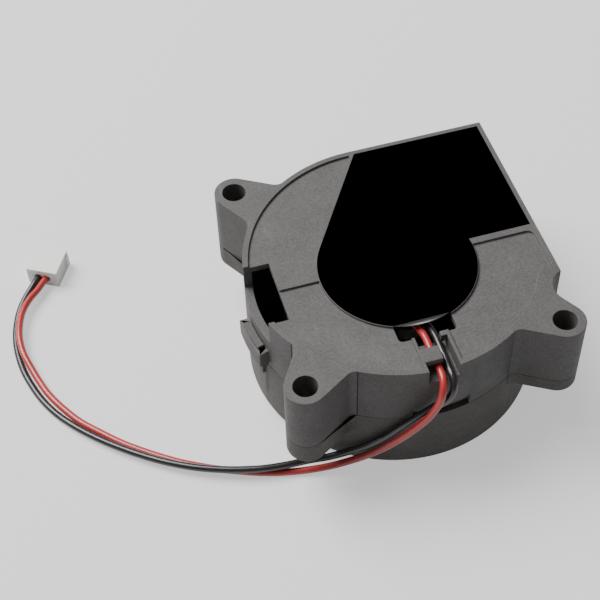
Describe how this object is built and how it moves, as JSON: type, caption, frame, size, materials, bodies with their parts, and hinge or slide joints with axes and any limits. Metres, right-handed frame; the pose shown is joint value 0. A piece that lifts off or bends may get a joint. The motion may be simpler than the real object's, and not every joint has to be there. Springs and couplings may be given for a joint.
{
  "type": "dc blower fan",
  "caption": "Square radial blower fan: scroll case in two snapped halves, three mounting ears, external-rotor motor turning an impeller, side air outlet, two leads with a small connector.",
  "frame": {"origin": "centre of the case's outline, on the plane of the inlet cover's outer face", "axes": "+Z to the label side, +X out of the air outlet, +Y to the straight wall of the outlet duct"},
  "size_m": [0.0719, 0.0543, 0.02],
  "materials": {
    "case_plastic": "fine spark texture, dark grey",
    "cover_plastic": "fine spark texture, dark grey",
    "label_film": "semi-gloss film, plain white with a plain olive band and a plain blue panel",
    "impeller_plastic": "satin black",
    "yoke_steel": "zinc plated",
    "magnet": "bonded ferrite, dark grey",
    "shaft_steel": "ground and polished",
    "oil_ring_rubber": "matte black",
    "bearing_bronze": "sintered bronze",
    "washer_nylon": "translucent white",
    "clip_nylon": "natural",
    "core_steel": "laminated sheet steel",
    "insulator_nylon": "natural nylon",
    "enamelled_wire": "enamelled copper, glossy",
    "tinned_pin": "tinned",
    "board_laminate": "green solder mask",
    "chip_epoxy": "matte black",
    "capacitor_ceramic": "ceramic brown",
    "solder": "bright solder",
    "red_pvc": "glossy PVC insulation",
    "black_pvc": "glossy PVC insulation",
    "connector_nylon": "natural white nylon",
    "tinned_contact": "tinned phosphor bronze"
  },
  "bodies": {
    "case": {"frame": "case_plastic", "cover": "cover_plastic", "label": "label_film", "sleeve_bearing": "bearing_bronze", "thrust_washer": "washer_nylon", "stator_core": "core_steel", "upper_insulator": "insulator_nylon", "lower_insulator": "insulator_nylon", "coil_1": "enamelled_wire", "coil_2": "enamelled_wire", "coil_3": "enamelled_wire", "coil_4": "enamelled_wire", "winding_pins": "tinned_pin", "circuit_board": "board_laminate", "hall_sensor": "chip_epoxy", "driver_chip": "chip_epoxy", "capacitor": "capacitor_ceramic", "solder_joints": "solder", "red_lead": "red_pvc", "black_lead": "black_pvc", "connector_housing": "connector_nylon", "crimp_terminals": "tinned_contact"},
    "rotor": {"impeller": "impeller_plastic", "rotor_yoke": "yoke_steel", "ring_magnet": "magnet", "shaft": "shaft_steel", "oil_ring": "oil_ring_rubber", "retaining_clip": "clip_nylon"}
  },
  "joints": [
    {"name": "rotor_spin", "type": "hinge", "parent": "case", "child": "rotor", "pos_m": [0.0007, -0.0018, 0.01], "axis": [0, 0, -1], "continuous": true}
  ]
}
